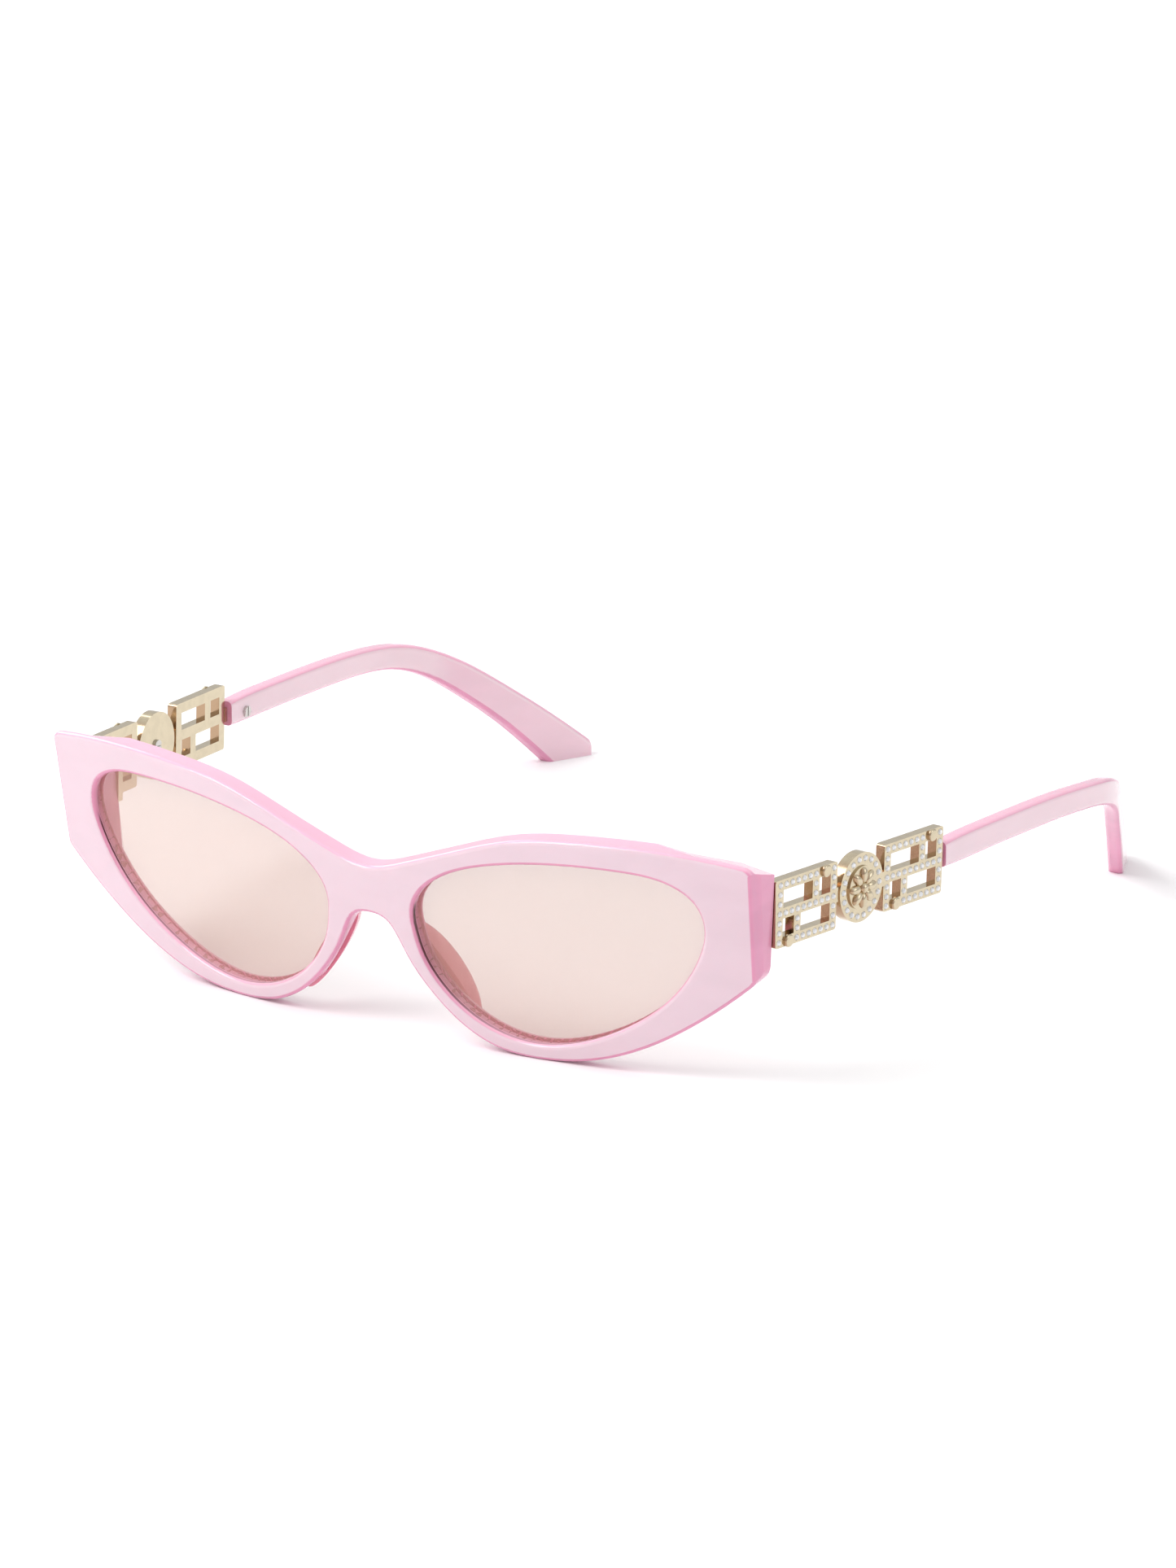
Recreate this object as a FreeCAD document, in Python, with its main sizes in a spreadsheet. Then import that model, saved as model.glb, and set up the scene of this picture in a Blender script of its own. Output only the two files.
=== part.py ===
"""Cat-eye sunglasses, modelled as separate pieces in millimetres.

+X is the wearer's left, +Y runs back along the temples and +Z is up.  The
origin is the middle of the footprint, on the table that the rims and the
temple tips rest on.
"""
import FreeCAD, Part
import math
import os

Vector = FreeCAD.Vector
Rotation = FreeCAD.Rotation
Placement = FreeCAD.Placement
X_AXIS = Vector(1, 0, 0)
Y_AXIS = Vector(0, 1, 0)
Z_AXIS = Vector(0, 0, 1)
SIDES = {"left": 1, "right": -1}

doc = FreeCAD.newDocument("cat_eye_sunglasses")
sheet = doc.addObject("Spreadsheet::Sheet", "sizes")

# ---------------------------------------------------------------- sizes
SIZES = {
    # front: a curved slab of two bonded acetate sheets, leaning forward
    "lens_width": 55.0,
    "lens_height": 35.4,
    "lens_centre_x": 36.5,
    "lens_centre_z": -1.4,
    "front_radius": 263.0,
    "rear_radius": 259.5,
    "shell_thick": 1.2,
    "front_thick": 3.5,
    "front_lean": 9.2,
    "front_y": -78.03,
    "front_z": 21.21,
    "blank_width": 73.45,
    "half_width": 73.0,
    "side_flare": 8.0,
    "side_slope": 2.14,
    "top_corner_z": 18.1,
    "low_corner_z": -3.0,
    "top_round": 2.2,
    "low_round": 3.5,
    "face_round": 0.7,
    "lug_start_x": 61.0,
    "lug_ramp": 5.5,
    "lug_depth": 18.6,
    "lug_low_z": -6.5,
    "lug_clear": 1.2,
    "slab_height": 60.0,
    # lenses
    "lens_recess": 1.3,
    "lens_thick": 1.8,
    "lens_seat": 0.7,
    # nose pads
    "pad_long": 11.0,
    "pad_deep": 5.2,
    "pad_wide": 2.0,
    "pad_x": 11.6,
    "pad_z": -9.6,
    "pad_lean": 36.0,
    "pad_flare": 8.0,
    "nose_bevel": 28.0,
    # temple frame: the outer face of the metal section starts here
    "temple_x": 73.48,
    "temple_y": 15.29,
    "temple_z": 31.01,
    "temple_yaw": 4.88,
    "temple_drop": 2.54,
    "butt_gap": 0.15,
    "butt_wedge": 0.54,
    # pierced links and their stones
    "stone_pitch": 1.7,
    "stone_radius": 0.55,
    "stone_seat": 0.35,
    "stone_rise": 0.3,
    "bar_width": 1.9,
    "link_thick": 1.85,
    "link_spacing": 30.86,
    "bead_radius": 1.15,
    "bead_rise": 0.6,
    # medallion
    "disc_radius": 6.2,
    "disc_rise": 0.25,
    "ring_radius": 5.15,
    "rosette_radius": 3.9,
    "rosette_rise": 1.1,
    # hinge
    "axis_in": 4.6,
    "axis_back": 2.6,
    "knuckle_radius": 1.5,
    "knuckle_pitch": 1.5,
    "knuckle_gap": 0.08,
    "pin_radius": 0.7,
    "pin_clearance": 0.05,
    "leaf_thick": 0.9,
    "plate_thick": 0.9,
    "plate_length": 5.2,
    "rivet_radius": 0.55,
    "screw_head": 1.15,
    # arms
    "arm_thick": 3.0,
    "arm_round": 0.9,
    "tang_length": 9.5,
    "tang_height": 2.6,
    "tang_raise": 0.3,
    "tang_thick": 1.0,
    "arm_end_y": 142.6,
    "prism_length": 400.0,
}
for row, (alias, value) in enumerate(SIZES.items(), start=1):
    sheet.set("A%d" % row, alias)
    sheet.set("B%d" % row, str(value))
    sheet.setAlias("B%d" % row, alias)
doc.recompute()


def size(alias):
    """The value of one named cell."""
    return float(sheet.get(alias))


def bind(feature, **sizes):
    """Tie a feature's properties to expressions over the sheet's cells."""
    for prop, expression in sizes.items():
        feature.setExpression(prop, expression)


# ---------------------------------------------------------------- helpers
def new_body(name):
    return doc.addObject("PartDesign::Body", name)


def new_sketch(body, name, role):
    """A sketch on one of the body's own origin planes."""
    sketch = body.newObject("Sketcher::SketchObject", name)
    plane = [f for f in body.Origin.OriginFeatures if f.Role == role][0]
    sketch.AttachmentSupport = [(plane, "")]
    sketch.MapMode = "FlatFace"
    return sketch


def add_loop(sketch, corners):
    """Straight edges round a closed list of (across, up) corners."""
    for start, end in zip(corners, corners[1:] + corners[:1]):
        sketch.addGeometry(Part.LineSegment(Vector(*start, 0), Vector(*end, 0)), False)


def rectangle(low, high):
    return [low, (high[0], low[1]), high, (low[0], high[1])]


def add_circle(sketch, centre, radius_alias):
    """A circle whose radius follows a cell."""
    index = sketch.addGeometry(Part.Circle(Vector(*centre, 0), Z_AXIS, size(radius_alias)), False)
    return index


def pad(body, sketch, length, middle=False, reverse=False):
    feature = body.newObject("PartDesign::Pad", "pad_of_" + sketch.Name)
    feature.Profile = sketch
    bind(feature, Length=length)
    feature.Midplane = middle
    feature.Reversed = reverse
    doc.recompute()
    return feature


def pocket(body, sketch, length=None, reverse=False):
    """Cut a sketch out of a body: to a depth, or right through both ways."""
    before = body.Shape.Volume
    feature = body.newObject("PartDesign::Pocket", "pocket_of_" + sketch.Name)
    feature.Profile = sketch
    if length is None:
        feature.Type = "ThroughAll"
        feature.Midplane = True
    else:
        bind(feature, Length=length)
        feature.Reversed = reverse
    doc.recompute()
    if not body.Shape.Volume < before - 1e-6:
        raise RuntimeError("%s cuts nothing" % feature.Name)
    return feature


def edge_names(shape, test):
    return ["Edge%d" % n for n, edge in enumerate(shape.Edges, start=1) if test(edge)]


def fillet(body, test, radius):
    base = body.Tip
    feature = body.newObject("PartDesign::Fillet", "round_of_" + base.Name)
    feature.Base = (base, edge_names(base.Shape, test))
    bind(feature, Radius=radius)
    doc.recompute()
    return feature


def boolean(kind, name, base, tools):
    """A Part::MultiFuse, or a chain of Part::Cut or Part::Common."""
    if kind == "MultiFuse":
        feature = doc.addObject("Part::MultiFuse", name)
        feature.Shapes = [base] + tools
        doc.recompute()
        return feature
    for tool in tools:
        feature = doc.addObject("Part::" + kind, name)
        feature.Base = base
        feature.Tool = tool
        doc.recompute()
        base = feature
    return feature


def group(name, members):
    feature = doc.addObject("Part::Compound", name)
    feature.Links = members
    doc.recompute()
    return feature


def block(name, low, high):
    """A box between two corners of its own frame."""
    box = doc.addObject("Part::Box", name)
    box.Length = high[0] - low[0]
    box.Width = high[1] - low[1]
    box.Height = high[2] - low[2]
    box.Placement = Placement(Vector(*low), Rotation())
    return box


def side_block(name, side, low, high):
    """A box given for the left side, mirrored in X for the right one."""
    ends = sorted([side * low[0], side * high[0]])
    return block(name, (ends[0], low[1], low[2]), (ends[1], high[1], high[2]))


def rod(name, centre, radius, length, axis=Z_AXIS):
    """A cylinder that starts at centre and runs along axis."""
    cylinder = doc.addObject("Part::Cylinder", name)
    cylinder.Radius = radius
    cylinder.Height = length
    cylinder.Placement = Placement(Vector(*centre), Rotation(Z_AXIS, axis))
    return cylinder


def place(feature, frame):
    """Put a whole object, built round its own origin, into a frame."""
    feature.Placement = frame.multiply(feature.Placement)
    return feature


def finish(feature, label):
    """Keep this object as one piece of the sunglasses."""
    feature.Label = label
    pieces.append(feature)
    return feature


pieces = []
FRONT_FRAME = Placement(
    Vector(0, size("front_y"), size("front_z")), Rotation(X_AXIS, size("front_lean"))
)


def temple_frame(side):
    """Frame of a temple's metal section: Y along it, X outward on the left."""
    origin = Vector(side * size("temple_x"), size("front_y") + size("temple_y"), size("temple_z"))
    turn = Rotation(Z_AXIS, -side * size("temple_yaw")).multiply(
        Rotation(X_AXIS, -size("temple_drop"))
    )
    return Placement(origin, turn)


# ---------------------------------------------------------------- front outlines
# Lens opening, as fractions of its width and height from its middle.
OPENING = [
    (-0.500, 0.055), (-0.480, 0.205), (-0.395, 0.330), (-0.210, 0.441), (0.027, 0.493),
    (0.245, 0.493), (0.400, 0.447), (0.478, 0.350), (0.500, 0.230), (0.472, 0.060),
    (0.355, -0.192), (0.191, -0.373), (0.027, -0.474), (-0.100, -0.500), (-0.245, -0.455),
    (-0.391, -0.305), (-0.472, -0.125),
]
# Half of the brow line, from the bridge out, and of the lower edge, inward.
BROW = [(0, 10.2), (8, 12.2), (18, 15.9), (30, 19.7), (42, 20.9), (54, 20.8), (64, 19.9)]
LOWER = [
    (69.8, -5.4), (62, -11.3), (52, -17.2), (42, -20.8), (32, -21.9), (23, -20.7),
    (16, -16.8), (10.8, -11.6), (7.4, -6.8), (5.2, -2.4), (3.0, 0.5), (0, 1.2),
]


def spline(points, closed=False):
    curve = Part.BSplineCurve()
    curve.interpolate([Vector(x, z, 0) for x, z in points], PeriodicFlag=closed)
    return curve


def mirrored(half):
    """A half line from the middle outward, completed on the other side."""
    return [(-x, z) for x, z in reversed(half[1:])] + list(half)


def opening_points(side, grow=0.0):
    wide = size("lens_width") + 2 * grow
    high = size("lens_height") + 2 * grow
    return [
        (side * (size("lens_centre_x") + u * wide), size("lens_centre_z") + v * high)
        for u, v in OPENING
    ]


def add_front_outline(sketch):
    """The brow, the lower edge and nearly upright ends, before the sides are flared."""
    upper_corner = (size("blank_width"), size("top_corner_z"))
    low_corner = (size("blank_width") - 0.9, size("low_corner_z"))
    sketch.addGeometry(spline(mirrored(BROW + [upper_corner])), False)
    sketch.addGeometry(spline(mirrored([*reversed(LOWER)] + [low_corner])), False)
    for side in SIDES.values():
        ends = [Vector(side * x, z, 0) for x, z in (upper_corner, low_corner)]
        sketch.addGeometry(Part.LineSegment(*ends), False)


def add_arc_region(sketch, radius, apex, reach, behind):
    """The region in front of, or behind, an arc that bulges towards -Y.

    reach is the half chord; beyond it a lug may stand back from the arc.
    """
    centre_y = apex + radius
    drop = centre_y - math.sqrt(radius ** 2 - reach ** 2)
    ends = [Vector(-reach, drop, 0), Vector(reach, drop, 0)]
    arc = Part.Arc(ends[0], Vector(0, apex, 0), ends[1])
    sketch.addGeometry(arc, False)
    far = 45.0 if behind else -45.0
    outline = [(reach, drop)]
    if behind:
        lug = size("lug_depth")
        ramp = reach + size("lug_ramp")
        outline += [(ramp, lug), (95, lug), (95, far), (-95, far), (-95, lug), (-ramp, lug)]
    else:
        outline += [(reach, far), (-reach, far)]
    outline.append((-reach, drop))
    for start, end in zip(outline, outline[1:]):
        sketch.addGeometry(Part.LineSegment(Vector(*start, 0), Vector(*end, 0)), False)


def curved_slab(name, outlines, front, rear):
    """A straight prism of the outlines, cut to a front and a rear arc."""
    body = new_body(name)
    shape = new_sketch(body, name + "_outline", "XZ_Plane")
    outlines(shape)
    pad(body, shape, "sizes.slab_height", middle=True)
    for label, behind, (radius, apex, reach) in (("face", False, front), ("back", True, rear)):
        plan = new_sketch(body, name + "_" + label, "XY_Plane")
        add_arc_region(plan, radius, apex, reach, behind)
        pocket(body, plan)
    return body


def along_depth(edge):
    """The edge runs front to back at an end of the front."""
    if len(edge.Vertexes) != 2 or abs(edge.CenterOfMass.x) < 60:
        return False
    run = edge.Vertexes[1].Point - edge.Vertexes[0].Point
    return run.Length > 1.0 and abs(run.normalize().y) > 0.93


def at_corner(edge, upper):
    return along_depth(edge) and (edge.CenterOfMass.z > 8) == upper


def front_outlines(sketch):
    add_front_outline(sketch)
    for side in SIDES.values():
        sketch.addGeometry(spline(opening_points(side), closed=True), False)


WIDE_REACH = 78.0
radius = size("front_radius")
shell = size("shell_thick")


def on_radius(edge, target):
    """Both ends, and the middle, of the edge lie on one arc of the slab."""
    first, last = edge.ParameterRange
    for part in (0.0, 0.37, 0.71, 1.0):
        point = edge.valueAt(first + part * (last - first))
        if abs(math.hypot(point.x, point.y - radius) - target) > 1e-3:
            return False
    return True



def rounded(name, base, *choices):
    """A Part::Fillet over the edges that pass each test."""
    feature = doc.addObject("Part::Fillet", name)
    feature.Base = base
    edges = []
    for test, radius in choices:
        chosen = [n for n, edge in enumerate(base.Shape.Edges, start=1) if test(edge)]
        if not chosen:
            raise RuntimeError("%s finds no edge" % name)
        edges += [(n, radius, radius) for n in chosen]
    feature.Edges = edges
    doc.recompute()
    return feature


def side_trims():
    """Blocks whose inner faces are the flared sides of the end pieces."""
    tools = []
    for name, side in SIDES.items():
        tool = side_block("side_trim_" + name, side, (0, -60, -60), (30, 60, 60))
        spot = Vector(side * (size("half_width") - 0.4), 10.1, 7.5)
        turn = Rotation(Z_AXIS, -side * size("side_flare"))
        turn = turn.multiply(Rotation(Y_AXIS, side * size("side_slope")))
        tools.append(place(tool, Placement(spot, turn)))
    return tools


def nose_bevels(depth):
    """Blocks that slope the flanks of the bridge away from the nose."""
    tools = []
    for name, side in SIDES.items():
        flank = Vector(side * 0.55, 0, -0.835)
        outward = Vector(side * 0.835, 0, 0.55)
        slope = math.radians(size("nose_bevel"))
        back = outward * math.sin(slope) + Y_AXIS * math.cos(slope)
        turn = Rotation(flank, back, flank.cross(back), "XYZ")
        tool = side_block("nose_bevel_" + name, 1, (-9, -1, 0), (7, 20, 12))
        if side > 0:
            tool = side_block("nose_bevel_left_cut", 1, (-9, -1, -12), (7, 20, 0))
        spot = Vector(side * 8.5, depth, -8.7)
        tools.append(place(tool, Placement(spot, turn)))
    return tools


def lug_trims():
    """Tools that level the tops of the end pieces and thin the rim below them."""
    high = size("slab_height")
    centre_y = size("front_thick") + size("rear_radius")
    hollow = rod("lug_hollow", (0, centre_y, -high), size("rear_radius"), 2 * high)
    low = block("lug_low", (-90, -60, -40), (90, 60, 0))
    place(low, Placement(Vector(0, 12, size("lug_low_z")), Rotation(X_AXIS, 30)))
    tools = [boolean("Common", "lug_thinning", hollow, [low])]
    for name, side in SIDES.items():
        window = new_body("lug_window_" + name)
        outline = new_sketch(window, "lug_window_outline_" + name, "XZ_Plane")
        outline.addGeometry(spline(opening_points(side, size("lug_clear")), closed=True), False)
        pad(window, outline, "sizes.slab_height", middle=True)
        tools.append(boolean("Common", "lug_clearing_" + name, hollow, [window]))
        level = block("lug_level_" + name, (-20, -25, 0), (20, 25, 12))
        up = Vector(side * 0.119, 0.42, 0.90)
        place(level, Placement(Vector(side * 66.5, 8.4, 19.75), Rotation(Z_AXIS, up)))
        tools.append(level)
    return tools


def front_pieces():
    """The two bonded sheets of the front, its lenses and its nose pads."""
    rear = size("rear_radius")
    thick = size("front_thick")
    recess = size("lens_recess")
    lens = size("lens_thick")
    shell_blank = curved_slab(
        "shell", front_outlines, (radius, 0.0, WIDE_REACH), (radius - shell, shell, WIDE_REACH)
    )
    corners = (
        (lambda edge: at_corner(edge, True), size("top_round")),
        (lambda edge: at_corner(edge, False), size("low_round")),
    )
    sides = side_trims()
    shell_round = rounded("shell_corners", shell_blank, *corners)
    shell_cut = boolean("Cut", "shell_sides", shell_round, sides)
    shell_body = rounded(
        "shell_edges", shell_cut, (lambda edge: on_radius(edge, radius), size("face_round"))
    )
    back_blank = curved_slab(
        "back", front_outlines, (radius - shell, shell, WIDE_REACH), (rear, thick, size("lug_start_x"))
    )
    back_round = rounded("back_corners", back_blank, *corners)
    back_body = boolean("Cut", "back_sides", back_round, sides + nose_bevels(shell))
    lenses = {}
    for name, side in SIDES.items():
        def outline(sketch, side=side):
            sketch.addGeometry(spline(opening_points(side, size("lens_seat")), closed=True), False)
        lenses[name] = curved_slab(
            "lens_" + name, outline, (radius - recess, recess, WIDE_REACH),
            (radius - recess - lens, recess + lens, WIDE_REACH),
        )
    rear_space = rod("behind_rear", (0, thick + rear, -size("slab_height")), rear, 2 * size("slab_height"))
    pads = {}
    for name, side in SIDES.items():
        ball = doc.addObject("Part::Ellipsoid", "pad_ball_" + name)
        bind(ball, Radius1="sizes.pad_long", Radius2="sizes.pad_wide", Radius3="sizes.pad_deep")
        turn = Rotation(Y_AXIS, -side * size("pad_lean"))
        turn = turn.multiply(Rotation(Z_AXIS, -side * size("pad_flare") + 90 + 90 * side))
        ball.Placement = Placement(Vector(side * size("pad_x"), thick, size("pad_z")), turn)
        pads[name] = boolean("Common", "pad_common_" + name, ball, [rear_space])
    return shell_body, back_body, lenses, pads


# ---------------------------------------------------------------- hinge
def axis_point():
    """The fold axis in a left temple's frame, as (x, y)."""
    return (-size("axis_in"), size("axis_back"))


def knuckle_spans(of_front):
    """The heights of the front's, or the temple's, share of five knuckles."""
    pitch = size("knuckle_pitch")
    gap = size("knuckle_gap") / 2
    low = -2.5 * pitch
    spans = []
    for n in range(5):
        if (n % 2 == 0) == of_front:
            start = low + n * pitch + (gap if n else 0)
            end = low + (n + 1) * pitch - (gap if n < 4 else 0)
            spans.append((start, end))
    return spans


def knuckles(name, side, of_front, web_low, web_high, hole):
    """A list of barrels with webs to their plate, and the hole through them."""
    x, y = axis_point()
    solids = []
    for n, (low, high) in enumerate(knuckle_spans(of_front)):
        solids.append(rod("%s_barrel_%d" % (name, n), (side * x, y, low), size("knuckle_radius"), high - low))
        solids.append(
            side_block("%s_web_%d" % (name, n), side, (*web_low, low), (*web_high, high))
        )
    half = 3 * size("knuckle_pitch")
    bore = rod(name + "_bore", (side * x, y, -half), hole, 2 * half)
    return solids, bore


def hinge_pieces(name, side, frame):
    """Plate on the front, leaf on the temple, and the screw they turn on."""
    x, y = axis_point()
    thick = size("plate_thick")
    half = 2.5 * size("knuckle_pitch")
    start = -size("butt_gap")
    barrel = size("knuckle_radius")
    plate_end = x + 1.0
    plate = side_block(
        "plate_" + name, side, (plate_end - size("plate_length"), start - 0.6, -half),
        (plate_end, start + thick, half),
    )
    pin = size("pin_radius")
    solids, bore = knuckles("plate_" + name, side, True, (x - barrel, start + 0.1), (x, y), pin + 0.02)
    rivets = []
    for n, height in enumerate((-2.0, 2.0)):
        centre = (side * (x - 2.7), start - 3.0, height)
        shank = rod("rivet_%s_%d" % (name, n), centre, size("rivet_radius"), 3.0 + thick, Y_AXIS)
        head_centre = (centre[0], start + thick, height)
        head = rod("rivet_head_%s_%d" % (name, n), head_centre, 1.8 * size("rivet_radius"), 0.35, Y_AXIS)
        rivets.append(boolean("MultiFuse", "rivet_fuse_%s_%d" % (name, n), shank, [head]))
    rivet_group = group("rivets_" + name, rivets)
    plate_fused = boolean("MultiFuse", "plate_fuse_" + name, plate, solids)
    rivet_holes = group("rivet_holes_" + name, rivets)
    plate_cut = boolean("Cut", "plate_cut_" + name, plate_fused, [bore, rivet_holes])

    leaf_in = -size("link_thick")
    leaf = side_block(
        "leaf_" + name, side, (leaf_in - size("leaf_thick"), 0.1, -4.4), (leaf_in, size("bar_width"), 4.4)
    )
    solids, bore = knuckles("leaf_" + name, side, False, (x, y - 1.2), (leaf_in - 0.3, y + 0.6), pin + size("pin_clearance"))
    leaf_fused = boolean("MultiFuse", "leaf_fuse_" + name, leaf, solids)
    leaf_cut = boolean("Cut", "leaf_cut_" + name, leaf_fused, [bore])

    shank = rod("screw_shank_" + name, (side * x, y, -half), pin, 2 * half)
    head = rod("screw_head_" + name, (side * x, y, half), size("screw_head"), 0.6)
    slot = block("screw_slot_" + name, (side * x - 2, y - 0.15, half + 0.3), (side * x + 2, y + 0.15, half + 1))
    screw_fused = boolean("MultiFuse", "screw_fuse_" + name, shank, [head])
    screw = boolean("Cut", "screw_cut_" + name, screw_fused, [slot])
    for feature in (plate_cut, rivet_group, screw, leaf_cut):
        place(feature, frame)
    finish(plate_cut, "hinge_plate_" + name)
    finish(rivet_group, "hinge_rivets_" + name)
    finish(screw, "hinge_screw_" + name)
    finish(leaf_cut, "hinge_leaf_" + name)
    return plate_cut, rivet_group


# ---------------------------------------------------------------- links
def grid(column, line):
    """Centre of a stone seat, counted in stone pitches from the top corner."""
    pitch = size("stone_pitch")
    return (size("bar_width") / 2 + column * pitch, (3 - line) * pitch)


# Bars of the lattice meet at these columns and lines of the stone grid.
COLUMNS = (0, 3, 6, 9)
LINES = (0, 3, 6)


def link_stones(start):
    """Every stone of one link: frame, middle bar and two short uprights."""
    spots = []
    for column in range(10):
        for line in range(7):
            on_frame = column in (0, 9) or line in LINES
            on_upright = (column == 6 and line < 3) or (column == 3 and line > 3)
            under_bead = (line == 0 and column in (7, 8)) or (line == 6 and column in (1, 2))
            if (on_frame or on_upright) and not under_bead:
                across, up = grid(column, line)
                spots.append((start + across, up))
    return spots


def bead_spots(start):
    """The two bosses of a link: over the upper slot, under the lower one."""
    return [(start + grid(7.5, 0)[0], grid(7.5, 0)[1]), (start + grid(1.5, 6)[0], grid(1.5, 6)[1])]


def add_windows(sketch, start):
    half = size("bar_width") / 2
    for columns, lines in (((0, 6), (0, 3)), ((6, 9), (0, 3)), ((0, 3), (3, 6)), ((3, 9), (3, 6))):
        left, top = grid(columns[0], lines[0])
        right, low = grid(columns[1], lines[1])
        add_loop(sketch, rectangle((start + left + half, low + half), (start + right - half, top - half)))


def seats(body, name, spots, side):
    """Shallow round seats for stones, sunk from the outer face."""
    sketch = new_sketch(body, name, "YZ_Plane")
    for spot in spots:
        add_circle(sketch, spot, "stone_radius")
    return sketch


def link(name, side, start):
    """One pierced link, outer face on the frame's own YZ plane."""
    length = 9 * size("stone_pitch") + size("bar_width")
    half_height = 3 * size("stone_pitch") + size("bar_width") / 2
    body = new_body("link_" + name)
    shape = new_sketch(body, "bars_" + name, "YZ_Plane")
    outline = rectangle((start, -half_height), (start + length, half_height))
    if start == 0:
        outline[3] = (-size("butt_wedge"), half_height)
    add_loop(shape, outline)
    add_windows(shape, start)
    pad(body, shape, "sizes.link_thick", reverse=side > 0)
    corners = lambda edge: (
        abs(edge.Length - size("link_thick")) < 1e-6
        and abs(abs(edge.Vertexes[0].Point.z) - half_height) < 1e-6
    )
    fillet(body, corners, "sizes.stone_radius")
    sketch = seats(body, "seats_" + name, link_stones(start), side)
    pocket(body, sketch, "sizes.stone_seat", reverse=side < 0)
    return body


def stones(name, spots, side, face=0.0):
    """Cut stones: a girdle in the seat and a flat-topped crown above it."""
    rim = size("stone_radius")
    seat = size("stone_seat")
    gems = []
    direction = Vector(side, 0, 0)
    for across, up in spots:
        base = Vector(side * (face - seat), across, up)
        girdle = Part.makeCylinder(rim, seat + 0.05, base, direction)
        crown = Part.makeCone(rim, 0.55 * rim, size("stone_rise") - 0.05, base + direction * (seat + 0.05), direction)
        gems.append(girdle.fuse(crown).removeSplitter())
    feature = doc.addObject("Part::Feature", name)
    feature.Shape = Part.makeCompound(gems)
    return feature


def beads(name, spots, side):
    """Round-topped bosses standing on the outer face."""
    bosses = []
    bead = size("bead_radius")
    rise = size("bead_rise")
    for across, up in spots:
        boss = Part.makeCylinder(bead, rise, Vector(0, across, up), Vector(side, 0, 0))
        top = [edge for edge in boss.Edges if abs(edge.CenterOfMass.x - side * rise) < 1e-6]
        bosses.append(boss.makeFillet(0.6 * rise, top[:1]))
    feature = doc.addObject("Part::Feature", name)
    feature.Shape = Part.makeCompound(bosses)
    return feature


# ---------------------------------------------------------------- medallion
def medallion(name, side, frame):
    """Disc between the links, its ring of stones, a petal boss and a screw."""
    link_length = 9 * size("stone_pitch") + size("bar_width")
    gap_end = size("link_spacing")
    centre = (link_length + gap_end) / 2
    rise = size("disc_rise")
    body = new_body("disc_" + name)
    lugs = new_sketch(body, "lugs_" + name, "YZ_Plane")
    add_loop(lugs, rectangle((link_length, -1.3), (gap_end, 1.3)))
    pad(body, lugs, "sizes.link_thick - 0.3", reverse=side > 0)
    disc = new_sketch(body, "round_" + name, "YZ_Plane")
    add_circle(disc, (centre, 0), "disc_radius")
    pad(body, disc, "sizes.link_thick", reverse=side > 0)
    raised = new_sketch(body, "raised_" + name, "YZ_Plane")
    add_circle(raised, (centre, 0), "disc_radius")
    pad(body, raised, "sizes.disc_rise", reverse=side < 0)
    spots = []
    for n in range(18):
        angle = 2 * math.pi * n / 18
        spots.append((centre + size("ring_radius") * math.cos(angle), size("ring_radius") * math.sin(angle)))
    sketch = seats(body, "ring_seats_" + name, spots, side)
    sketch.AttachmentOffset = Placement(Vector(0, 0, side * rise), Rotation())
    pocket(body, sketch, "sizes.stone_seat", reverse=side < 0)

    petals = [rod("boss_" + name, (side * rise, centre, 0), size("rosette_radius"), 0.35, Vector(side, 0, 0))]
    for n in range(8):
        angle = 2 * math.pi * n / 8
        petal = doc.addObject("Part::Ellipsoid", "petal_%s_%d" % (name, n))
        petal.Radius1 = 0.85
        petal.Radius2 = 1.45
        petal.Radius3 = 0.8
        reach = 0.58 * size("rosette_radius")
        spot = Vector(side * (rise + 0.3), centre + reach * math.cos(angle), reach * math.sin(angle))
        turn = Rotation(X_AXIS, math.degrees(angle)).multiply(Rotation(Z_AXIS, 90))
        petal.Placement = Placement(spot, turn)
        petals.append(petal)
    eye = doc.addObject("Part::Sphere", "eye_" + name)
    eye.Radius = 1.0
    eye.Placement = Placement(Vector(side * (rise + 0.3), centre, 0), Rotation())
    petals.append(eye)
    fused = boolean("MultiFuse", "rosette_fuse_" + name, petals[0], petals[1:])
    under = side_block("under_rosette_" + name, side, (rise - 3, centre - 6, -6), (rise, centre + 6, 6))
    rosette = boolean("Cut", "rosette_cut_" + name, fused, [under])

    inner = -size("link_thick")
    head = rod("disc_screw_head_" + name, (side * inner, centre, 0), 1.1, 0.4, Vector(-side, 0, 0))
    slot = side_block("disc_screw_slot_" + name, side, (inner - 1, centre - 2, -0.15), (inner - 0.2, centre + 2, 0.15))
    screw = boolean("Cut", "disc_screw_" + name, head, [slot])
    gems = stones("ring_stones_" + name, spots, side, face=rise)
    for feature, label in (
        (body, "medallion_disc_"), (rosette, "medallion_rosette_"), (screw, "medallion_screw_"),
        (gems, "crystals_medallion_"),
    ):
        finish(place(feature, frame), label + name)


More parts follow.
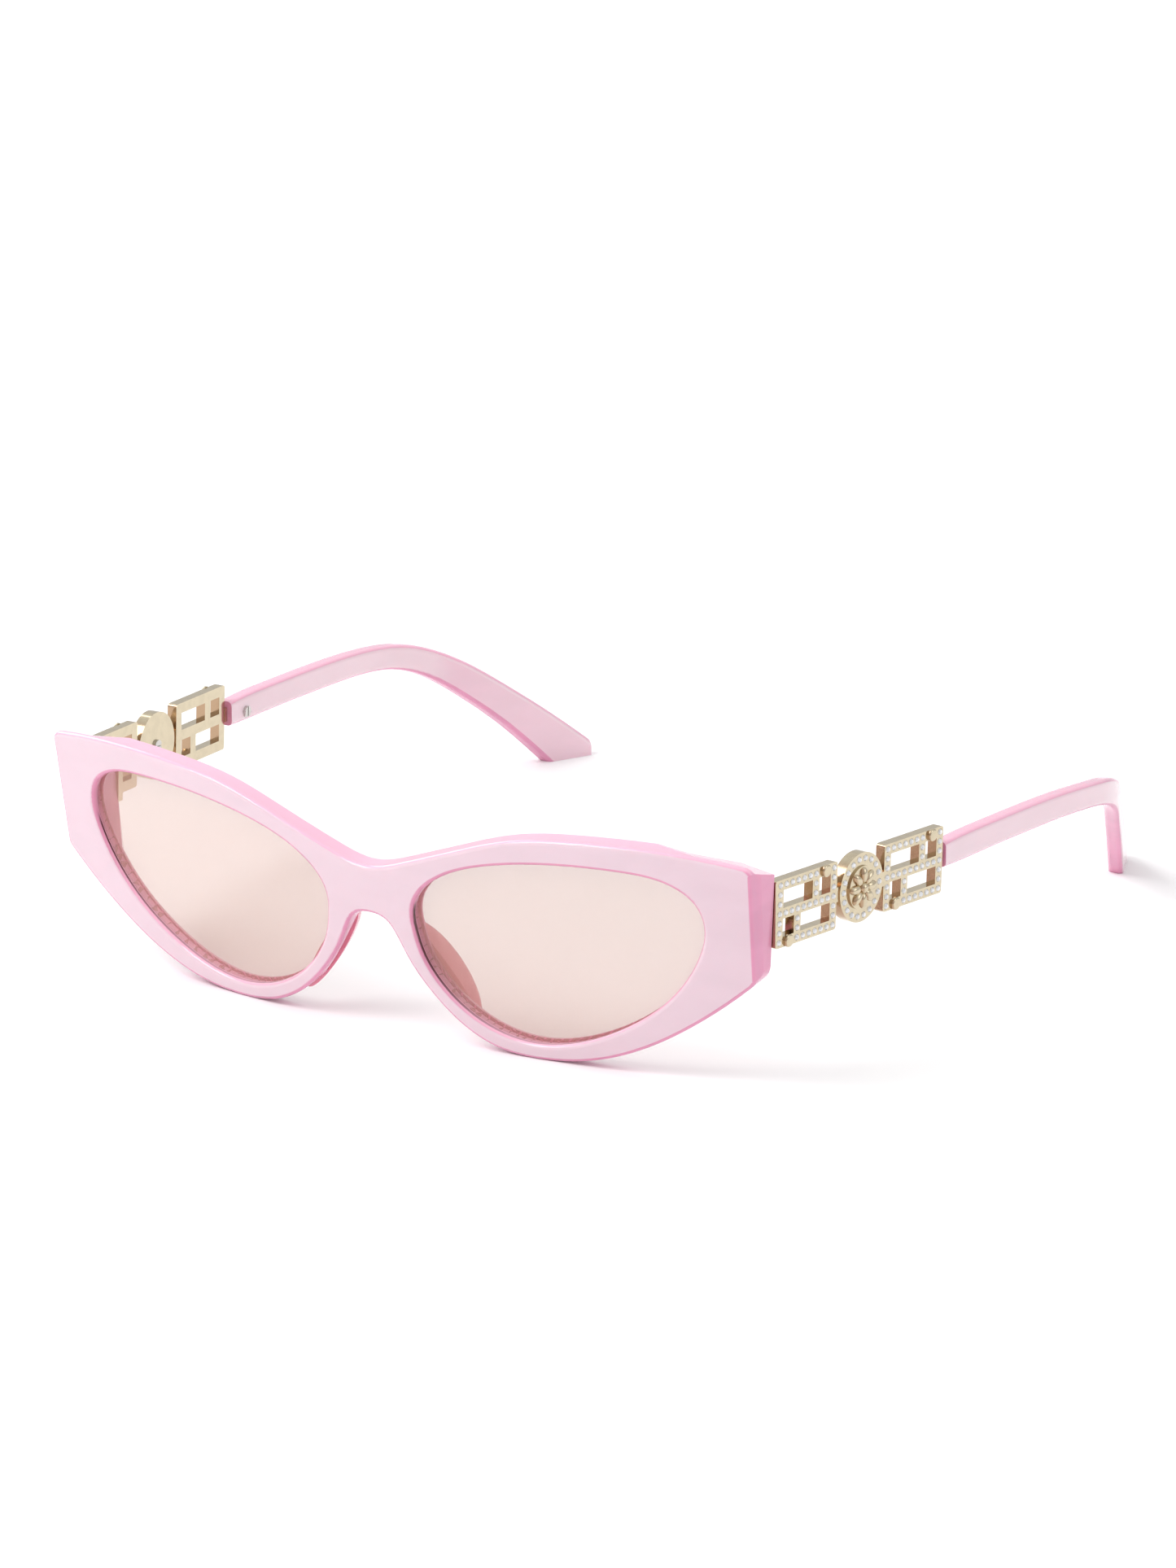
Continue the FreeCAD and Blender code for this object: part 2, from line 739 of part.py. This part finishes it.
# ---------------------------------------------------------------- arms
# Stations of the left arm: y along the frame from the metal section's
# start, outer face x, underside z above the table and depth across.
ARM = [
    (48.9, 77.70, 27.00, 4.6), (52.0, 77.82, 26.85, 4.9), (64.0, 78.15, 26.60, 5.0),
    (76.0, 78.45, 26.25, 4.95), (88.0, 78.72, 25.75, 4.8), (96.0, 78.80, 25.10, 4.7),
    (102.0, 78.45, 24.20, 4.8), (107.0, 77.60, 22.75, 5.2), (112.0, 76.00, 20.30, 5.9),
    (118.0, 73.10, 15.90, 7.1), (126.0, 69.00, 8.90, 8.3), (134.0, 64.95, 0.50, 10.3),
    (146.0, 59.00, -11.50, 11.7),
]


def strip(name, low, high, plane):
    """A prism of the strip between two lines given as (across, up) points."""
    body = new_body(name)
    sketch = new_sketch(body, name + "_strip", plane)
    sketch.addGeometry(spline(low), False)
    sketch.addGeometry(spline(high), False)
    for n in (0, -1):
        sketch.addGeometry(Part.LineSegment(Vector(*low[n], 0), Vector(*high[n], 0)), False)
    pad(body, sketch, "sizes.prism_length", middle=True)
    return body


def arm(name, side):
    """An acetate arm that bends down to a paddle flat on the table."""
    start = size("temple_y")
    lows = [(start + y, low) for y, outer, low, deep in ARM]
    tops = [(start + y, low + deep) for y, outer, low, deep in ARM]
    outers = [(side * outer, start + y) for y, outer, low, deep in ARM]
    inners = []
    for before, station, after in zip(ARM[:1] + ARM[:-1], ARM, ARM[1:] + ARM[-1:]):
        turn = math.atan2(before[1] - after[1], after[0] - before[0])
        inner = station[1] - size("arm_thick") / math.cos(turn)
        inners.append((side * inner, start + station[0]))
    profile = strip("arm_side_" + name, lows, tops, "YZ_Plane")
    plan = strip("arm_plan_" + name, inners, outers, "XY_Plane")
    bar = boolean("Common", "arm_bar_" + name, profile, [plan])
    rounded = doc.addObject("Part::Fillet", "arm_round_" + name)
    rounded.Base = bar
    radius = size("arm_round")
    long_edges = [n for n, edge in enumerate(bar.Shape.Edges, start=1) if edge.Length > 60]
    rounded.Edges = [(n, radius, radius) for n in long_edges]
    doc.recompute()
    floor = block("arm_floor_" + name, (-120, 100, -40), (120, 200, 0))
    beyond = block("arm_end_" + name, (-120, start + size("arm_end_y"), -40), (120, 220, 40))
    return boolean("Cut", "arm_trim_" + name, rounded, [floor, beyond])


def arm_pieces(name, side, frame):
    """The arm, the metal tongue that holds it and the tongue's screw."""
    start = size("link_spacing") + 9 * size("stone_pitch") + size("bar_width")
    middle = -1.45
    half = size("tang_thick") / 2
    low = size("tang_raise") - size("tang_height") / 2
    tang = side_block(
        "tang_box_" + name, side, (middle - half, start, low),
        (middle + half, start + size("tang_length"), low + size("tang_height")),
    )
    place(tang, frame)
    spot = start + 5.6
    inner = middle - half
    screw_parts = [
        rod("arm_screw_shank_" + name, (side * inner, spot, 0), 0.5, 1.6, Vector(-side, 0, 0)),
        rod("arm_screw_head_" + name, (side * (inner - 1.0), spot, 0), 1.0, 0.7, Vector(-side, 0, 0)),
    ]
    fused = boolean("MultiFuse", "arm_screw_fuse_" + name, screw_parts[0], screw_parts[1:])
    slot = side_block("arm_screw_slot_" + name, side, (inner - 3, spot - 0.15, -2), (inner - 1.5, spot + 0.15, 2))
    screw = place(boolean("Cut", "arm_screw_cut_" + name, fused, [slot]), frame)
    hole = place(rod("arm_screw_hole_" + name, (side * (inner - 1.0), spot, 0), 1.0, 4, Vector(-side, 0, 0)), frame)
    shank = place(rod("arm_screw_bore_" + name, (side * inner, spot, 0), 0.5, 1.2, Vector(-side, 0, 0)), frame)
    raw = arm(name, side)
    raw.Placement = Placement(Vector(0, size("front_y"), 0), Rotation())
    whole = boolean("Cut", "arm_cut_" + name, raw, [tang, hole, shank])
    finish(whole, "arm_" + name)
    finish(tang, "arm_tang_" + name)
    finish(screw, "arm_screw_" + name)


# ---------------------------------------------------------------- assembly
shell_body, back_body, lenses, pads = front_pieces()
cutters = [place(tool, FRONT_FRAME) for tool in lug_trims()]
for name, side in SIDES.items():
    frame = temple_frame(side)
    plate, rivets = hinge_pieces(name, side, frame)
    cutters.append(rivets)
    behind = side_block("behind_butt_" + name, side, (-14, 0, -35), (8, 20, 35))
    foot = frame.multVec(Vector(0, -size("butt_gap"), -6.05))
    cutters.append(place(behind, Placement(foot, Rotation(Z_AXIS, -side * size("temple_yaw")))))
    cutters.append(plate)
for part in (shell_body, back_body, *lenses.values(), *pads.values()):
    place(part, FRONT_FRAME)
cutters += list(lenses.values())
back = boolean("Cut", "back_cut", back_body, cutters)
finish(shell_body, "front_shell")
finish(back, "front_back_layer")
for name, side in SIDES.items():
    finish(lenses[name], "lens_" + name)
    finish(pads[name], "nose_pad_" + name)
    frame = temple_frame(side)
    spacing = size("link_spacing")
    boss_spots = []
    for position, start in (("front", 0.0), ("rear", spacing)):
        full = "%s_%s" % (position, name)
        finish(place(link(full, side, start), frame), "link_" + full)
        gems = stones("stones_" + full, link_stones(start), side)
        finish(place(gems, frame), "crystals_link_" + full)
        boss_spots += bead_spots(start)
    finish(place(beads("beads_" + name, boss_spots, side), frame), "link_beads_" + name)
    medallion(name, side, frame)
    arm_pieces(name, side, frame)

# ---------------------------------------------------------------- checks and files
doc.recompute()
for feature in doc.Objects:
    if "Invalid" in feature.State or "Error" in feature.State:
        raise RuntimeError("%s did not build: %s" % (feature.Name, feature.State))
os.makedirs("parts", exist_ok=True)
whole = FreeCAD.BoundBox()
for feature in pieces:
    shape = feature.Shape
    if shape.isNull() or not shape.isValid():
        raise RuntimeError("%s has no valid shape" % feature.Label)
    whole.add(shape.BoundBox)
    shape.exportStep("parts/%s.step" % feature.Label)
    print(feature.Label, len(shape.Solids), round(shape.Volume, 2), shape.BoundBox)
print("box", whole)
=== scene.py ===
"""Looks for the folding cat-eye sunglasses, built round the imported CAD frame."""

import math
import random

import bmesh
import bpy
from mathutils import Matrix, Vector


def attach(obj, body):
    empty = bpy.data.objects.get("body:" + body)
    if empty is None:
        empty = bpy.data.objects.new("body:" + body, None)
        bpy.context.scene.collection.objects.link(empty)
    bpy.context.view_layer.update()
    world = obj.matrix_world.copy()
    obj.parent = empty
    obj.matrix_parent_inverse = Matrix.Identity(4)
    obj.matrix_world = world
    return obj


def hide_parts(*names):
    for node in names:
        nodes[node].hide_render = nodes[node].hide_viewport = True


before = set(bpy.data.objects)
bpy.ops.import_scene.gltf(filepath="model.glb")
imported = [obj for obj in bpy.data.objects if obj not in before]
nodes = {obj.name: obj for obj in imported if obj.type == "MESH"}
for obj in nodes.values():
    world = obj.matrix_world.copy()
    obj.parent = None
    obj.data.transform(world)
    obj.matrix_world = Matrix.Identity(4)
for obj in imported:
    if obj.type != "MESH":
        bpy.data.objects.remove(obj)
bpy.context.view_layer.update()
MM = 0.001
SIDES = {"left": 1, "right": -1}
FRONT_OUT = (0, -0.985, 0.16)
rng = random.Random(7)


# ---------------------------------------------------------------- materials
class Material:
    """A node material with a Principled shader and short ways to add nodes."""

    def __init__(self, name, **sockets):
        self.data = bpy.data.materials.new(name)
        self.data.use_nodes = True
        self.tree = self.data.node_tree
        self.shader = self.tree.nodes["Principled BSDF"]
        for socket, value in sockets.items():
            self.set(socket.replace("_", " "), value)

    def set(self, socket, value):
        self.shader.inputs[socket].default_value = value

    def node(self, kind, **settings):
        node = self.tree.nodes.new(kind)
        for key, value in settings.items():
            setattr(node, key, value)
        return node

    def link(self, source, target):
        self.tree.links.new(source, target)

    def noise(self, scale, detail=3.0, stretch=(1, 1, 1)):
        place = self.node("ShaderNodeTexCoord")
        mapping = self.node("ShaderNodeMapping")
        mapping.inputs["Scale"].default_value = stretch
        texture = self.node("ShaderNodeTexNoise")
        texture.inputs["Scale"].default_value = scale
        texture.inputs["Detail"].default_value = detail
        self.link(place.outputs["Object"], mapping.inputs["Vector"])
        self.link(mapping.outputs["Vector"], texture.inputs["Vector"])
        return texture.outputs["Fac"]

    def ramp(self, source, low, high):
        """source taken from low..high to 0..1, smoothly."""
        node = self.node("ShaderNodeMapRange", interpolation_type="SMOOTHSTEP")
        node.inputs["From Min"].default_value = low
        node.inputs["From Max"].default_value = high
        self.link(source, node.inputs["Value"])
        return node.outputs["Result"]

    def mix(self, factor, first, second):
        """Mixes two colours, each a tuple or a socket."""
        node = self.node("ShaderNodeMix", data_type="RGBA")
        self.link(factor, node.inputs[0])
        for index, value in ((6, first), (7, second)):
            if isinstance(value, tuple):
                node.inputs[index].default_value = (*value, 1.0)
            else:
                self.link(value, node.inputs[index])
        return node.outputs[2]

    def facing(self, direction):
        """How far a face looks along a direction of the object's own frame."""
        geometry = self.node("ShaderNodeNewGeometry")
        own = self.node(
            "ShaderNodeVectorTransform", vector_type="NORMAL",
            convert_from="WORLD", convert_to="OBJECT",
        )
        dot = self.node("ShaderNodeVectorMath", operation="DOT_PRODUCT")
        dot.inputs[1].default_value = Vector(direction).normalized()
        self.link(geometry.outputs["Normal"], own.inputs["Vector"])
        self.link(own.outputs["Vector"], dot.inputs[0])
        return dot.outputs["Value"]

    def bump(self, height, strength, distance):
        node = self.node("ShaderNodeBump")
        node.inputs["Strength"].default_value = strength
        node.inputs["Distance"].default_value = distance
        self.link(height, node.inputs["Height"])
        self.link(node.outputs["Normal"], self.shader.inputs["Normal"])

    def colour(self, source):
        self.link(source, self.shader.inputs["Base Color"])


def math_node(material, operation, first, second=None):
    """One Math node; each value is a number or a socket."""
    node = material.node("ShaderNodeMath", operation=operation)
    for index, value in enumerate((first, second)):
        if value is None:
            continue
        if isinstance(value, (int, float)):
            node.inputs[index].default_value = value
        else:
            material.link(value, node.inputs[index])
    return node.outputs["Value"]


def painted_opening_shade(made, base, dark):
    """Paints shade onto the lower walls of the lens openings that look up and to the left: a
    painted shadow in the groove of the rim.
    """
    flat_on = math_node(made, "ABSOLUTE", made.facing(FRONT_OUT))
    across = made.ramp(flat_on, 0.45, 0.12)
    upward = made.ramp(made.facing((0.62, 0, 0.78)), 0.1, 0.5)
    place = made.node("ShaderNodeTexCoord")
    split = made.node("ShaderNodeSeparateXYZ")
    made.link(place.outputs["Object"], split.inputs[0])
    # Only the openings inward of the end pieces and below the brow take the painted shade.
    inner = made.ramp(math_node(made, "ABSOLUTE", split.outputs["X"]), 66.0 * MM, 65.0 * MM)
    under = made.ramp(split.outputs["Z"], 28.0 * MM, 25.0 * MM)
    wall = math_node(made, "MULTIPLY", across, upward)
    area = math_node(made, "MULTIPLY", inner, under)
    return made.mix(math_node(made, "MULTIPLY", wall, area), base, dark)


def acetate(name, core, face=None, look=None, both=False, painted_top_light=None, painted_hollow_shade=None):
    """Polished acetate.

    core is its own colour. The colour for faces that look up is painted light, a lighter top
    where the lamp above falls. face is the colour of a paler sheet on the side that looks along
    look (and away from it when both is set). The colour for the lens openings is painted shade
    on their walls.
    """
    made = Material(
        name, Roughness=0.16, IOR=1.49, Subsurface_Weight=0.25, Subsurface_Scale=0.0012,
        Coat_Weight=0.35, Coat_Roughness=0.05,
    )
    made.set("Subsurface Radius", (1.0, 0.45, 0.55))
    cloud = made.noise(90.0, 4.0, (1, 1, 2.5))
    deep = tuple(0.93 * part for part in core)
    base = made.mix(made.ramp(cloud, 0.35, 0.65), core, deep)
    # Faces that look up are mixed toward a lighter colour: painted light from above.
    if painted_top_light:
        base = made.mix(made.ramp(made.facing((0, 0, 1)), 0.25, 0.85), base, painted_top_light)
    if face:
        shade = tuple(0.97 * part for part in face)
        sheet = made.mix(made.ramp(cloud, 0.3, 0.7), face, shade)
        turned = made.facing(look)
        if both:
            turned = math_node(made, "ABSOLUTE", turned)
        base = made.mix(made.ramp(turned, 0.80, 0.93), base, sheet)
    # Walls of the lens openings are darkened here: painted shade, not a colour of the acetate.
    if painted_hollow_shade:
        base = painted_opening_shade(made, base, painted_hollow_shade)
    made.colour(base)
    fine = made.noise(2600.0, 2.0)
    made.bump(fine, 0.03, 0.00005)
    return made.data


def plated_metal(name, colour, wall, roughness=0.16):
    """Polished plating; the walls that face the front are mixed toward copper, a painted
    reflection of the pink acetate in front of them.
    """
    made = Material(name, Metallic=1.0)
    cloud = made.noise(700.0, 3.0)
    worn = tuple(0.94 * part for part in colour)
    base = made.mix(made.ramp(cloud, 0.4, 0.65), colour, worn)
    # Front-facing walls take a painted copper reflection of the pink acetate.
    if wall:
        base = made.mix(made.ramp(made.facing((0, -1, 0)), 0.45, 0.8), base, wall)
    made.colour(base)
    uneven = math_node(made, "MULTIPLY", made.noise(1500.0, 2.0), 0.12)
    made.link(math_node(made, "ADD", uneven, roughness - 0.06), made.shader.inputs["Roughness"])
    made.bump(made.noise(5200.0, 2.0), 0.05, 0.00003)
    return made.data


def tinted_lens(name):
    """A pale rose-brown tint, very slightly uneven."""
    made = Material(name, Roughness=0.03, IOR=1.5, Alpha=0.32)
    cloud = made.ramp(made.noise(9.0, 1.0), 0.3, 0.7)
    made.colour(made.mix(cloud, (0.62, 0.36, 0.27), (0.58, 0.34, 0.26)))
    return made.data


def cut_stone(name, first, second):
    """Hard facets in two close colours that stand in for sparkle: painted highlight on the pale
    stones, painted dark reflection on the dark facets; a fine cloud keeps neighbours from
    matching.
    """
    made = Material(name, Roughness=0.12, IOR=1.6)
    cloud = made.ramp(made.noise(2400.0, 0.0), 0.42, 0.58)
    made.colour(made.mix(cloud, first, second))
    return made.data


PINK = (0.74, 0.30, 0.46)
# Lighter pink for faces that look up: painted light from above, not a colour of the acetate.
PAINTED_LIGHT_PINK = (0.90, 0.50, 0.64)
PALE = (0.76, 0.58, 0.65)
ARM_PALE = (0.84, 0.64, 0.70)
# Near-black red for the walls of the lens openings: painted shade, not a colour of the acetate.
PAINTED_GROOVE_SHADOW = (0.10, 0.025, 0.035)
MATERIALS = {
    "shell": acetate(
        "shell_acetate", PINK, PALE, FRONT_OUT, painted_top_light=PAINTED_LIGHT_PINK, painted_hollow_shade=PAINTED_GROOVE_SHADOW
    ),
    "back": acetate("back_acetate", PINK, painted_top_light=PAINTED_LIGHT_PINK),
    "pad": acetate("pad_acetate", (0.84, 0.30, 0.40)),
    "arm": acetate("arm_acetate", PINK, ARM_PALE, (1, 0, 0), both=True, painted_top_light=PAINTED_LIGHT_PINK),
    "lens": tinted_lens("lens_tint"),
    # Its second colour is the painted copper reflection on the front-facing walls.
    "gold": plated_metal("champagne_plating", (0.66, 0.57, 0.41), (0.46, 0.31, 0.20)),
    "steel": plated_metal("hinge_steel", (0.62, 0.60, 0.57), None, 0.28),
    # Pale colours of the clear stones: painted sparkle highlight.
    "stone": cut_stone("clear_stone", (0.88, 0.88, 0.90), (0.70, 0.71, 0.74)),
    # Near-black facets of the clear stones: painted dark reflection, not a colour of the stone.
    "painted_dark_facet": cut_stone("clear_stone_painted_dark", (0.008, 0.008, 0.008), (0.03, 0.03, 0.03)),
}


def finish_for(node):
    """The key in MATERIALS for one CAD node."""
    if node == "front_shell":
        return "shell"
    if node == "front_back_layer":
        return "back"
    if node.startswith("nose_pad"):
        return "pad"
    if node in ("arm_left", "arm_right"):
        return "arm"
    if node.startswith("lens"):
        return "lens"
    if node.startswith("crystals"):
        return "stone"
    if "screw" in node or "rivets" in node:
        return "steel"
    return "gold"


def paint(obj, material):
    obj.data.materials.clear()
    obj.data.materials.append(material)


for name, obj in nodes.items():
    paint(obj, MATERIALS[finish_for(name)])


# ---------------------------------------------------------------- mesh helpers
def new_object(name, mesh, material):
    """Links a mesh into the scene as a new painted object."""
    obj = bpy.data.objects.new(name, mesh)
    bpy.context.scene.collection.objects.link(obj)
    paint(obj, material)
    return obj


def islands(obj):
    """Centre and size of every separate solid in a CAD node."""
    welded = bmesh.new()
    welded.from_mesh(obj.data)
    bmesh.ops.remove_doubles(welded, verts=welded.verts, dist=1e-6)
    found = []
    left = set(welded.verts)
    while left:
        stack = [left.pop()]
        members = []
        while stack:
            vert = stack.pop()
            members.append(vert.co.copy())
            for edge in vert.link_edges:
                other = edge.other_vert(vert)
                if other in left:
                    left.discard(other)
                    stack.append(other)
        low = Vector([min(co[axis] for co in members) for axis in range(3)])
        high = Vector([max(co[axis] for co in members) for axis in range(3)])
        found.append(((low + high) / 2, high - low))
    welded.free()
    return sorted(found, key=lambda item: tuple(item[0]))


def brilliant(build, centre, radius, rise, outward, turn):
    """Adds one round brilliant with some facets near-black: painted dark reflections standing
    in for the sparkle of a cut stone.

    rise is its full height along X. Rings run from the foot to the flat table.
    """
    away = Vector((outward, 0, 0))
    across = Vector((0, 1, 0))
    up = Vector((0, 0, 1))

    def ring(size, height, count, shift):
        made = []
        for n in range(count):
            angle = turn + math.tau * (n + shift) / count
            spot = centre + away * height
            spot += (across * math.cos(angle) + up * math.sin(angle)) * size
            made.append(build.verts.new(spot))
        return made

    foot = ring(radius, -0.5 * rise, 16, 0)
    girdle = ring(radius, -0.15 * rise, 16, 0)
    star = ring(0.76 * radius, 0.30 * rise, 8, 0.5)
    table = ring(0.52 * radius, 0.48 * rise, 8, 0)
    # Crown facets picked to carry the painted dark reflection.
    dark = set(rng.sample(range(8), 5))
    faces = [(list(reversed(foot)), True), (table, False)]
    for n in range(16):
        other = (n + 1) % 16
        faces.append(((foot[n], foot[other], girdle[other], girdle[n]), True))
    for n in range(8):
        other = (n + 1) % 8
        first = girdle[2 * n]
        middle = girdle[2 * n + 1]
        last = girdle[(2 * n + 2) % 16]
        faces.append(((first, middle, star[n]), True))
        faces.append(((middle, last, star[n]), n != 3))
        faces.append(((last, star[other], table[other]), n in dark))
        faces.append(((last, table[other], star[n]), n % 2 == 0))
        faces.append(((star[n], table[other], table[n]), n in dark))
    for corners, is_painted_dark in faces:
        build.faces.new(corners).material_index = int(is_painted_dark)


def cut_stones(node, body, outward):
    """Faceted stones in the seats of one link or disc, in place of plain ones."""
    build = bmesh.new()
    for centre, spread in islands(nodes[node]):
        radius = 0.49 * max(spread.y, spread.z)
        brilliant(build, centre, radius, spread.x, outward, rng.uniform(0, math.tau))
    bmesh.ops.recalc_face_normals(build, faces=build.faces)
    mesh = bpy.data.meshes.new(node + "_cut")
    build.to_mesh(mesh)
    build.free()
    made = new_object(node + "_cut", mesh, MATERIALS["stone"])
    # Second slot: the facets with the painted dark reflection.
    made.data.materials.append(MATERIALS["painted_dark_facet"])
    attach(made, body)
    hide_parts(node)


BEVELLED = ("link_front", "link_rear", "medallion_disc", "hinge_leaf", "hinge_plate")


def add_bevels():
    """Softens the sharp metal edges enough to catch a highlight."""
    for name, obj in nodes.items():
        if name.startswith(BEVELLED):
            bevel = obj.modifiers.new("soft_edge", "BEVEL")
            bevel.width = 0.08 * MM
            bevel.segments = 2
            bevel.limit_method = "ANGLE"
            bevel.angle_limit = math.radians(40)
            bevel.harden_normals = False


for side, outward in SIDES.items():
    for part in ("link_front", "link_rear", "medallion"):
        cut_stones("crystals_%s_%s" % (part, side), "temple_" + side, outward)
add_bevels()


# ---------------------------------------------------------------- stage, light, camera
def floor():
    """A plain white floor, wide enough to fill the view."""
    mesh = bpy.data.meshes.new("floor")
    half = 9.0
    corners = [(-half, -half, 0), (half, -half, 0), (half, half, 0), (-half, half, 0)]
    mesh.from_pydata(corners, [], [(0, 1, 2, 3)])
    made = Material("floor_white", Roughness=0.9)
    cloud = made.ramp(made.noise(3.0, 2.0), 0.3, 0.7)
    made.colour(made.mix(cloud, (0.94, 0.94, 0.945), (0.95, 0.95, 0.95)))
    made.set("Specular IOR Level", 0.0)
    new_object("floor", mesh, made.data)


def look_at(obj, place, target):
    """Stands a camera or a light at place, turned to target."""
    obj.location = place
    way = Vector(target) - Vector(place)
    obj.rotation_euler = way.to_track_quat("-Z", "Y").to_euler()


def area_light(name, place, width, watts):
    """A square soft box aimed at the object."""
    data = bpy.data.lights.new(name, "AREA")
    data.shape = "RECTANGLE"
    data.size = width
    data.size_y = width
    data.energy = watts
    light = bpy.data.objects.new(name, data)
    bpy.context.scene.collection.objects.link(light)
    look_at(light, place, (0, 0, 0))


def studio():
    """A bright even world, with one key light, a fill and a weak side light."""
    world = bpy.data.worlds.new("studio")
    bpy.context.scene.world = world
    world.use_nodes = True
    tree = world.node_tree
    shade = tree.nodes["Background"]
    place = tree.nodes.new("ShaderNodeTexCoord")
    split = tree.nodes.new("ShaderNodeSeparateXYZ")
    ramp = tree.nodes.new("ShaderNodeValToRGB")
    tree.links.new(place.outputs["Generated"], split.inputs[0])
    tree.links.new(split.outputs["Z"], ramp.inputs["Fac"])
    ramp.color_ramp.elements[0].position = 0.0
    ramp.color_ramp.elements[0].color = (0.75, 0.75, 0.76, 1)
    ramp.color_ramp.elements[1].position = 0.6
    ramp.color_ramp.elements[1].color = (1.0, 1.0, 1.0, 1)
    tree.links.new(ramp.outputs["Color"], shade.inputs["Color"])
    shade.inputs["Strength"].default_value = 0.8
    area_light("key", (-0.7, -0.9, 1.3), 0.9, 16)
    area_light("fill", (-1.2, 0.4, 0.8), 0.8, 5)
    area_light("side", (1.3, 0.2, 0.7), 0.8, 2)


def camera():
    """A long lens in front, to the wearer's left and above."""
    data = bpy.data.cameras.new("camera")
    data.sensor_width = 36.0
    data.lens = 205.5
    data.clip_start = 0.05
    data.clip_end = 50.0
    made = bpy.data.objects.new("camera", data)
    bpy.context.scene.collection.objects.link(made)
    look_at(made, (0.83739, -1.28834, 0.51046), (0.01904, -0.03803, 0.03854))
    bpy.context.scene.camera = made


floor()
studio()
camera()
bpy.context.scene.view_settings.view_transform = "Standard"
